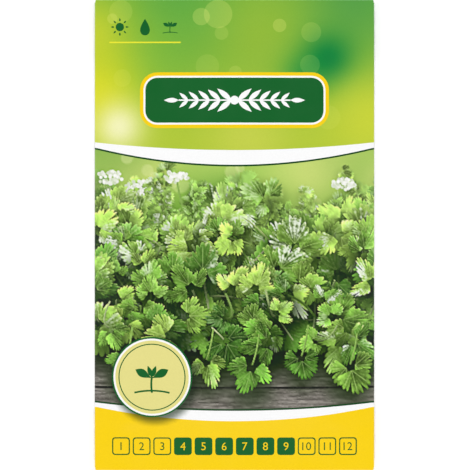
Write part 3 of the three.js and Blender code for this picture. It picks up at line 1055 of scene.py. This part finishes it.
def wear(places):
    """How far the ink is rubbed off along the folds, and most at the packet's corners"""
    u, v = np.abs(places).T
    side = np.sin(np.clip((u - FRONT_HALF) / SIDE_FOLD, 0, 1) * pi)
    end = np.sin(np.clip((v - PANEL_HALF) / END_FOLD, 0, 1) * pi)
    off_corner = ((u - WRAP) ** 2 + (v - PANEL_HALF) ** 2) / WEAR_REACH**2
    return np.maximum(side, end) ** 3 * mix(WEAR_LOW, WEAR_HIGH, np.exp(-off_corner))


def bake_places(places, low, high):
    """Places on the baked map, between two heights of it. The front takes most of its width."""
    across = np.interp(places[:, 0], [-SHEET_HALF_U, -WRAP, WRAP, SHEET_HALF_U], BAKE_COLUMNS)
    up = (places[:, 1] + SHEET_HALF_V) / (2 * SHEET_HALF_V)
    return table(across, mix(low, high, up))


def rim_bake_places(count):
    """Places on the baked map of the cut edges, two triangles for each edge of the outline"""
    left = np.arange(count) / count
    right = left + 1 / count
    low, high = (np.full(count, row) for row in CUT_ROWS)
    first = table(right, low, left, low, left, high)
    second = table(right, low, left, high, right, high)
    return joined(first, second).reshape(-1, 3, 2)


def put(layer, name, values):
    """Fills a mesh layer with one value for each of its elements"""
    layer.foreach_set(name, np.asarray(values, np.float32).ravel())


def make_sheet():
    """The folded sheet as one closed mesh: the printed face, the plain face and the cut edges"""
    inks = front_inks() + wing_inks()
    outer, printed = printed_face(inks)
    a = rim(outer, printed)
    inner, plain = plain_face(outer[np.append(a, a[0])])
    c = rim(inner, plain) + len(outer)
    b, d = np.roll(a, -1), np.roll(c, -1)
    cut = joined(table(b, a, c), table(b, c, d))
    triangles = joined(printed, plain[:, ::-1] + len(outer), cut)
    mesh = bpy.data.meshes.new("seed_packet_paper")
    points = joined(sheet_points(outer, 0), sheet_points(inner, PAPER))
    mesh.from_pydata(points * MM, [], triangles)
    mesh.shade_smooth()
    mesh.set_sharp_from_angle(angle=radians(SHARP_ANGLE))
    unprinted = np.arange(len(triangles)) >= len(printed)
    mesh.polygons.foreach_set("material_index", unprinted.astype(np.int32))
    colours = np.ones((len(triangles), 3, 4))
    colours[: len(printed), :, :3] = ink_colours(outer[printed], inks)
    put(mesh.color_attributes.new(PRINT, "FLOAT_COLOR", "CORNER").data, "color", colours)
    worn = joined(wear(outer), np.zeros(len(inner)))
    put(mesh.attributes.new(WEAR, "FLOAT", "POINT").data, "value", worn)
    faces = joined(bake_places(outer, *PRINTED_ROWS), bake_places(inner, *PLAIN_ROWS))
    maps = joined(faces[triangles[: -len(cut)]], rim_bake_places(len(a)))
    put(mesh.uv_layers.new(name=BAKE_MAP).uv, "vector", maps)
    return mesh


# Materials


class Surface:
    """A material, with what its nodes are made by. Sizes of blots and bumps are in millimetres."""

    def __init__(self, name):
        self.material = bpy.data.materials.new(name)
        self.material.use_nodes = True
        self.tree = self.material.node_tree
        self.shader = self.tree.nodes["Principled BSDF"].inputs

    def set(self, name, value):
        self.feed(self.shader[name], value)

    def feed(self, socket, value):
        """Gives a socket a fixed value, or links an output to it"""
        if isinstance(value, bpy.types.NodeSocket):
            self.tree.links.new(value, socket)
        else:
            socket.default_value = value

    def node(self, kind, settings, inputs):
        node = self.tree.nodes.new("ShaderNode" + kind)
        for name, value in settings.items():
            setattr(node, name, value)
        for name, value in inputs.items():
            self.feed(node.inputs[name], value)
        return node

    def layer(self, name):
        return self.node("Attribute", {"attribute_name": name}, {})

    def noise(self, blot, detail=3, roughness=0.5):
        where = self.node("TexCoord", {}, {}).outputs["Object"]
        inputs = {"Vector": where, "Scale": 1 / (blot * MM), "Detail": detail, "Roughness": roughness}
        return self.node("TexNoise", {}, inputs).outputs["Fac"]

    def varied(self, low, high, *grain):
        """Noise whose usual values are spread between two others"""
        inputs = {"Value": self.noise(*grain), "From Min": 0.3, "From Max": 0.7}
        inputs |= {"To Min": low, "To Max": high}
        return self.node("MapRange", {}, inputs).outputs["Result"]

    def times(self, a, b):
        return self.node("Math", {"operation": "MULTIPLY"}, {0: a, 1: b}).outputs["Value"]

    def blend(self, how, share, first, second):
        settings = {"data_type": "RGBA", "blend_type": how}
        return self.node("Mix", settings, {0: share, 6: first, 7: second}).outputs[2]

    def bump(self, *layers):
        """Bumps, from the blots, the detail and the height of each layer"""
        normal = {}
        for blot, detail, height in layers:
            inputs = {"Height": self.noise(blot, detail), "Strength": 1.0, "Distance": height * MM}
            normal = {"Normal": self.node("Bump", {}, inputs | normal).outputs["Normal"]}
        self.set("Normal", normal["Normal"])


def printed_paper():
    """Coated paper: the print, faint mottling, rubbed folds, fine fibres and a low gloss"""
    surface = Surface("printed_paper")
    mottle = surface.varied(0.965, 1.0, 0.5, 4)
    colour = surface.blend("MULTIPLY", 1.0, surface.layer(PRINT).outputs["Color"], mottle)
    patches = surface.varied(0.0, 1.6, 0.7, 5, 0.7)
    rubbed = surface.times(surface.layer(WEAR).outputs["Fac"], patches)
    bare = (PAPER_WHITE, PAPER_WHITE, 0.97 * PAPER_WHITE, 1)
    surface.set("Base Color", surface.blend("MIX", rubbed, colour, bare))
    surface.set("Roughness", surface.varied(0.40, 0.48, 6))
    surface.set("Specular IOR Level", 0.3)
    surface.bump((0.22, 4, 0.0035), (9, 2, 0.06))
    return surface.material


def blotched(name, dark, light, blot, detail, grain, depth):
    """A material in blots of two tones, with fine bumps"""
    surface = Surface(name)
    share = surface.varied(0.0, 1.0, blot, detail)
    surface.set("Base Color", surface.blend("MIX", share, (*dark, 1), (*light, 1)))
    surface.bump((grain, detail, depth))
    return surface


def plain_paper():
    """The unprinted side and the cut edges, which are rough and a little yellow"""
    surface = blotched("plain_paper", (0.72, 0.70, 0.64), (0.86, 0.85, 0.81), 0.3, 5, 0.15, 0.01)
    surface.set("Roughness", 0.85)
    return surface.material


def dried_glue():
    dark, light = to_linear(rgb(214, 200, 160)), to_linear(rgb(240, 230, 200))
    surface = blotched("dried_glue", dark, light, 1.5, 4, 0.6, 0.02)
    surface.set("Roughness", surface.varied(0.25, 0.45, 0.75))
    return surface.material


def dry_fruit():
    dark, light = to_linear(rgb(122, 84, 44)), to_linear(rgb(196, 160, 104))
    surface = blotched("dry_fruit", dark, light, 0.9, 4, 0.25, 0.05)
    surface.set("Roughness", surface.varied(0.6, 0.85, 0.45))
    return surface.material


# The object


def new_object(name, data):
    made = bpy.data.objects.new(name, data)
    bpy.context.scene.collection.objects.link(made)
    return made


def add_paper():
    paper = new_object("seed_packet_paper", make_sheet())
    paper.data.materials.append(printed_paper())
    paper.data.materials.append(plain_paper())
    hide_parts("packet_paper")
    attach(paper, "root")


def dress(nodes, names, material):
    for name in names:
        nodes[name].data.materials.clear()
        nodes[name].data.materials.append(material)


# The scene round it

IMAGE_HEIGHT = 134.6  # millimetres of the packet's height that the photograph takes in
IMAGE_MIDDLE_X = 0.15
LENS = 135
FLOOR_SIZE = 6
FLOOR_WHITE = (0.93, 0.93, 0.93, 1)
LAMP_HEIGHT = 0.6
LAMP_OUT = 1.04
LAMP_SIZE = 0.5
LAMP_POWER = 7.8
LAMPS = {
    # the way out from the packet, and the share of the power
    "left": (-1, 0.3, 1.0),
    "right": (1, 0.3, 0.95),
    "top": (0, 1, 0.95),
    "bottom": (0, -1, 1.35),
}
SKY = 0.2


def add_camera():
    """Straight down on the front"""
    data = bpy.data.cameras.new("camera")
    data.lens = LENS
    data.clip_start = 0.01
    camera = new_object("camera", data)
    away = IMAGE_HEIGHT * LENS / data.sensor_width
    camera.location = (IMAGE_MIDDLE_X * MM, 0, (away + EDGE_LIFT) * MM)
    bpy.context.scene.camera = camera


def add_floor():
    mesh = bpy.data.meshes.new("floor")
    half = FLOOR_SIZE / 2
    corners = [(-half, -half, 0), (half, -half, 0), (half, half, 0), (-half, half, 0)]
    mesh.from_pydata(corners, [], [range(4)])
    floor = new_object("floor", mesh)
    surface = Surface("pale_floor")
    surface.set("Base Color", FLOOR_WHITE)
    surface.set("Roughness", 0.9)
    mesh.materials.append(surface.material)


def add_lamp(name, x, y, share):
    data = bpy.data.lights.new(name, "AREA")
    data.shape = "DISK"
    data.size = LAMP_SIZE
    data.energy = LAMP_POWER * share
    lamp = new_object(name, data)
    lamp.location = (x * LAMP_OUT, y * LAMP_OUT, LAMP_HEIGHT)
    lamp.rotation_euler = (-lamp.location).to_track_quat("-Z", "Y").to_euler()


def add_light():
    """Four soft lamps round the packet, the one at its bottom the strongest, and a pale sky"""
    for name, (x, y, share) in LAMPS.items():
        add_lamp("lamp_" + name, x, y, share)
    world = bpy.data.worlds.new("sky")
    world.use_nodes = True
    background = world.node_tree.nodes["Background"].inputs
    background["Color"].default_value = (1, 1, 1, 1)
    background["Strength"].default_value = SKY
    bpy.context.scene.world = world
    bpy.context.scene.view_settings.view_transform = "Standard"


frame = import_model()
add_camera()
add_floor()
add_light()
add_paper()
dress(frame["nodes"], ["seam_glue", "bottom_flap_glue", "top_flap_glue"], dried_glue())
dress(frame["nodes"], ["coriander_fruits"], dry_fruit())
